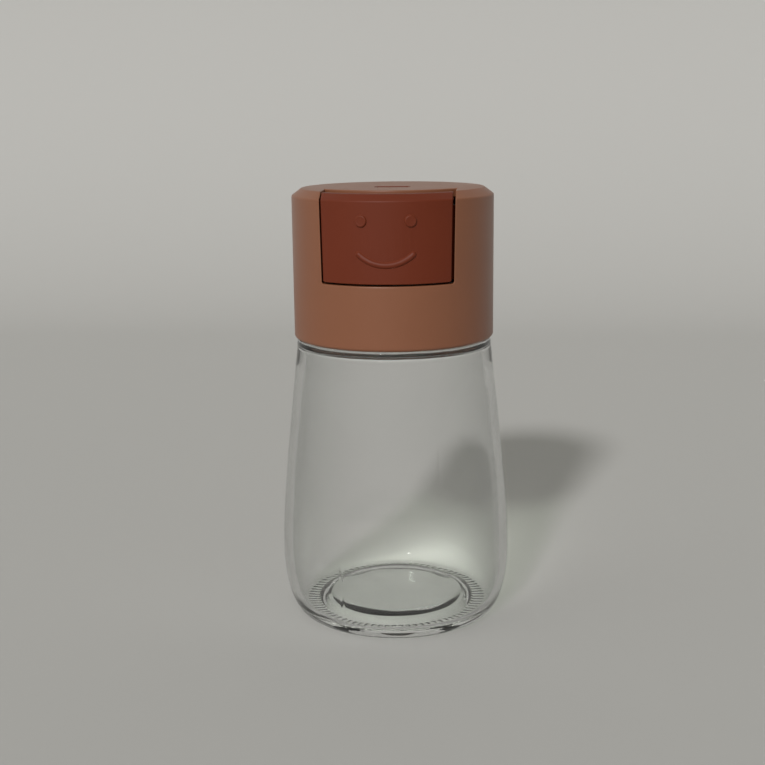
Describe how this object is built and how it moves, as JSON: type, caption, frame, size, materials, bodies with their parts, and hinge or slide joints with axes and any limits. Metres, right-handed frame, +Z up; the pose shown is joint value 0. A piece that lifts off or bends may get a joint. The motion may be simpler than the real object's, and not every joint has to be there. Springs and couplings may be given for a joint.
{
  "type": "spice dispenser",
  "caption": "Clear glass spice jar with a screw-on dosing cap; pressing its front button slides a dosing pocket under the outlet slot in the cap's roof.",
  "frame": {"origin": "on the floor under the jar's axis, at the middle of the foot ring", "axes": "+Z up along the jar's axis; the button faces -Y; +X is to the right when facing the button"},
  "size_m": [0.0654, 0.0654, 0.122],
  "materials": {
    "glass": "clear pressed glass",
    "cap_plastic": "fine matte moulded",
    "button_plastic": "satin moulded",
    "inner_plastic": "natural moulded",
    "silicone": "translucent silicone",
    "spring_steel": "drawn wire"
  },
  "bodies": {
    "jar": {"glass_jar": "glass"},
    "seal": {"mouth_gasket": "silicone"},
    "cap": {"cap_shell": "cap_plastic", "screw_collar": "cap_plastic", "hopper": "inner_plastic", "inlet_wiper": "silicone", "outlet_wiper": "silicone", "return_spring_left": "spring_steel", "return_spring_right": "spring_steel"},
    "button": {"press_button": "button_plastic", "metering_shuttle": "inner_plastic"}
  },
  "joints": [
    {"name": "cap_lift", "type": "slide", "parent": "jar", "child": "seal", "axis": [0, 0, 1], "range_m": [0, 0.015]},
    {"name": "cap_turn", "type": "hinge", "parent": "seal", "child": "cap", "pos_m": [0, 0, 0.088], "axis": [0, 0, 1], "range_deg": [0, 724]},
    {"name": "button_press", "type": "slide", "parent": "cap", "child": "button", "axis": [0, 1, 0], "range_m": [0, 0.007], "stiffness_N_per_m": 500, "springref_m": -0.004, "deforming": ["return_spring_left", "return_spring_right"]}
  ],
  "couplings": [
    {"joint": "cap_turn", "follows": "cap_lift", "rad_per_m": 837.76}
  ]
}
